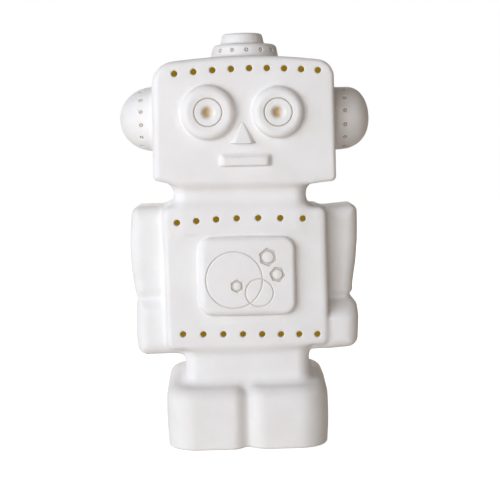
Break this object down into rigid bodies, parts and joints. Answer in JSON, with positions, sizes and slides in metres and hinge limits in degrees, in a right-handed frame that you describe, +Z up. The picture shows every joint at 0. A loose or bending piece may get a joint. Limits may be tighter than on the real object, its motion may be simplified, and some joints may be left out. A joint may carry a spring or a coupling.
{
  "type": "table lamp",
  "caption": "Robot-shaped porcelain lamp: a hollow pierced figure that lifts off a spring-held base unit with a small screw lampholder and candle bulb.",
  "frame": {"origin": "on the table, under the middle of the figure", "axes": "+Z up, the robot's face towards -Y, its left ear as the viewer sees it towards -X"},
  "size_m": [0.172, 0.096, 0.28],
  "materials": {
    "porcelain": "matt unglazed white porcelain, lit amber from inside",
    "felt": "dense black felt",
    "moulded_black": "fine-textured black plastic",
    "holder_white": "satin white thermoplastic",
    "bush_rubber": "black rubber",
    "zinc_steel": "zinc plated",
    "spring_steel": "tempered spring strip",
    "brass": "drawn brass",
    "steatite": "unglazed steatite",
    "cap_metal": "nickel plated brass",
    "insulator_black": "black insulator",
    "solder": "solder contact",
    "bulb_glass": "clear glass",
    "stem_glass": "clear pressed glass",
    "filament": "amber phosphor over light diodes",
    "nickel_wire": "drawn nickel wire",
    "board": "printed circuit board"
  },
  "bodies": {
    "light_unit": {"base_cover": "moulded_black", "base_lid": "moulded_black", "lid_screws": "zinc_steel", "cable_bush": "bush_rubber", "threaded_tube": "zinc_steel", "lock_nut": "zinc_steel", "toothed_washer": "zinc_steel", "spring_bracket": "spring_steel", "holder_cap": "holder_white", "tube_lock_screw": "zinc_steel", "holder_sleeve": "holder_white", "contact_block": "steatite", "terminal_clamps": "brass", "terminal_screws": "zinc_steel", "screw_shell": "brass", "centre_contact": "brass", "contact_rivets": "brass"},
    "figure": {"porcelain_crown_front": "porcelain", "porcelain_crown_back": "porcelain", "porcelain_ears": "porcelain", "porcelain_arms": "porcelain", "porcelain_head_front": "porcelain", "porcelain_head_back": "porcelain", "porcelain_trunk_front": "porcelain", "porcelain_trunk_back": "porcelain", "porcelain_feet": "porcelain", "foot_pads": "felt"},
    "bulb_tip": {"tip_contact": "solder", "cap_insulator": "insulator_black"},
    "bulb": {"bulb_cap": "cap_metal", "driver_board": "board", "bulb_glass": "bulb_glass", "bulb_stem": "stem_glass", "filaments": "filament", "filament_wires": "nickel_wire"}
  },
  "joints": [
    {"name": "figure_lift", "type": "slide", "parent": "light_unit", "child": "figure", "axis": [0, 0, 1], "range_m": [0, 0.149]},
    {"name": "bulb_rise", "type": "slide", "parent": "light_unit", "child": "bulb_tip", "axis": [0, 0, 1], "range_m": [0, 0.01129]},
    {"name": "bulb_screw", "type": "hinge", "parent": "bulb_tip", "child": "bulb", "pos_m": [0, 0.0065, 0.04], "axis": [0, 0, 1], "range_deg": [0, 1440]}
  ],
  "couplings": [
    {"joint": "bulb_rise", "follows": "bulb_screw", "m_per_rad": 0.00044913}
  ]
}
